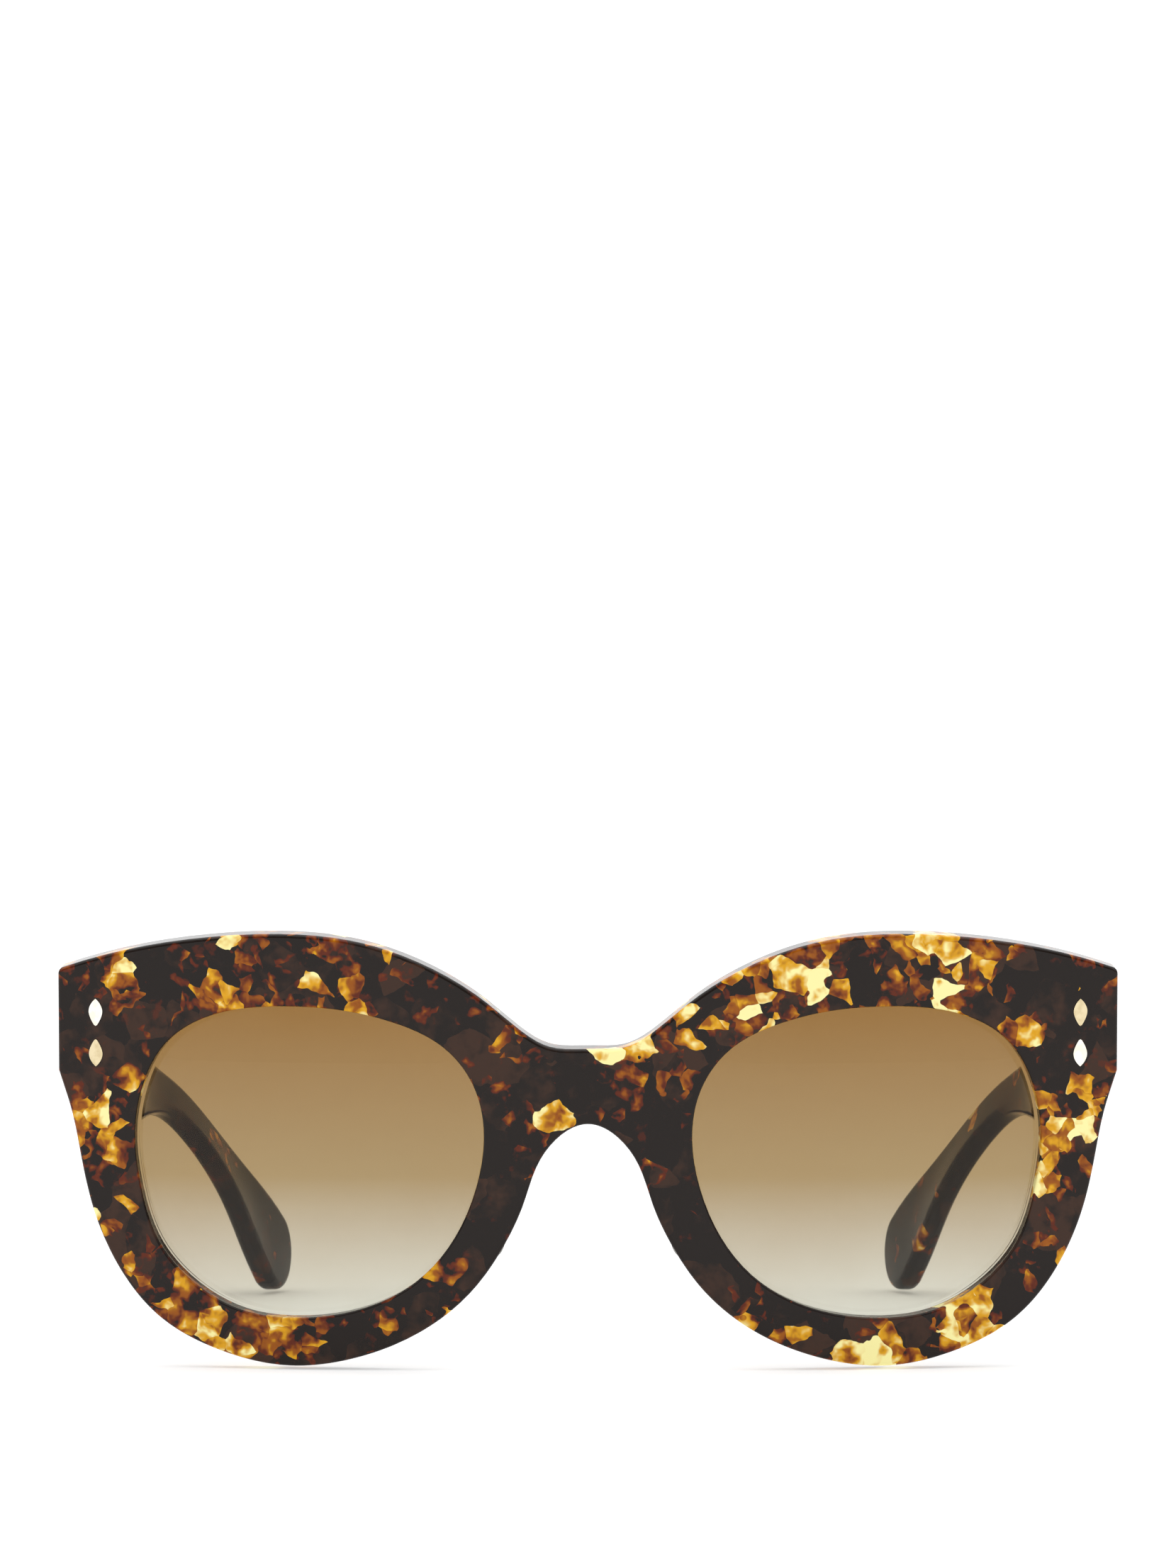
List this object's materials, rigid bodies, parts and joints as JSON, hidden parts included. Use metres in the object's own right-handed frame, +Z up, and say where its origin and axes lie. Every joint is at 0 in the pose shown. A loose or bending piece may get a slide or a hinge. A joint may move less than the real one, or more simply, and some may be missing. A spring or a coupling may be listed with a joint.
{
  "type": "cat eye sunglasses",
  "caption": "Cat eye sunglasses: tortoiseshell acetate front and temples, brown gradient lenses, metal shield rivets, temples that fold on screwed hinges.",
  "frame": {"origin": "centre of the bounding box at its underside, on the table", "axes": "+Z up, the front faces -Y, the wearer's left is +X"},
  "size_m": [0.1448, 0.143, 0.059],
  "materials": {
    "front_acetate": "polished tortoiseshell acetate",
    "temple_acetate": "polished tortoiseshell acetate",
    "lens_tint": "brown gradient tint, darker at the top",
    "pad_clear": "clear polished acetate",
    "shield_metal": "polished, pale gold-silver",
    "hinge_metal": "plain nickel silver",
    "screw_metal": "polished steel",
    "rivet_metal": "polished nickel silver",
    "core_metal": "drawn wire"
  },
  "bodies": {
    "front": {"front_frame": "front_acetate", "lens_left": "lens_tint", "lens_right": "lens_tint", "nose_pad_left": "pad_clear", "nose_pad_right": "pad_clear", "front_rivet_upper_left": "shield_metal", "front_rivet_upper_right": "shield_metal", "front_rivet_lower_left": "shield_metal", "front_rivet_lower_right": "shield_metal", "hinge_front_leaf_left": "hinge_metal", "hinge_front_leaf_right": "hinge_metal", "hinge_screw_left": "screw_metal", "hinge_screw_right": "screw_metal"},
    "temple_left_body": {"temple_left": "temple_acetate", "core_wire_left": "core_metal", "hinge_temple_leaf_left": "hinge_metal", "temple_rivets_left": "rivet_metal"},
    "temple_right_body": {"temple_right": "temple_acetate", "core_wire_right": "core_metal", "hinge_temple_leaf_right": "hinge_metal", "temple_rivets_right": "rivet_metal"}
  },
  "joints": [
    {"name": "temple_left_fold", "type": "hinge", "parent": "front", "child": "temple_left_body", "pos_m": [0.0676, -0.0559, 0.0469], "axis": [0, 0, 1], "range_deg": [0, 80]},
    {"name": "temple_right_fold", "type": "hinge", "parent": "front", "child": "temple_right_body", "pos_m": [-0.0676, -0.0559, 0.0469], "axis": [0, 0, -1], "range_deg": [0, 69]}
  ]
}
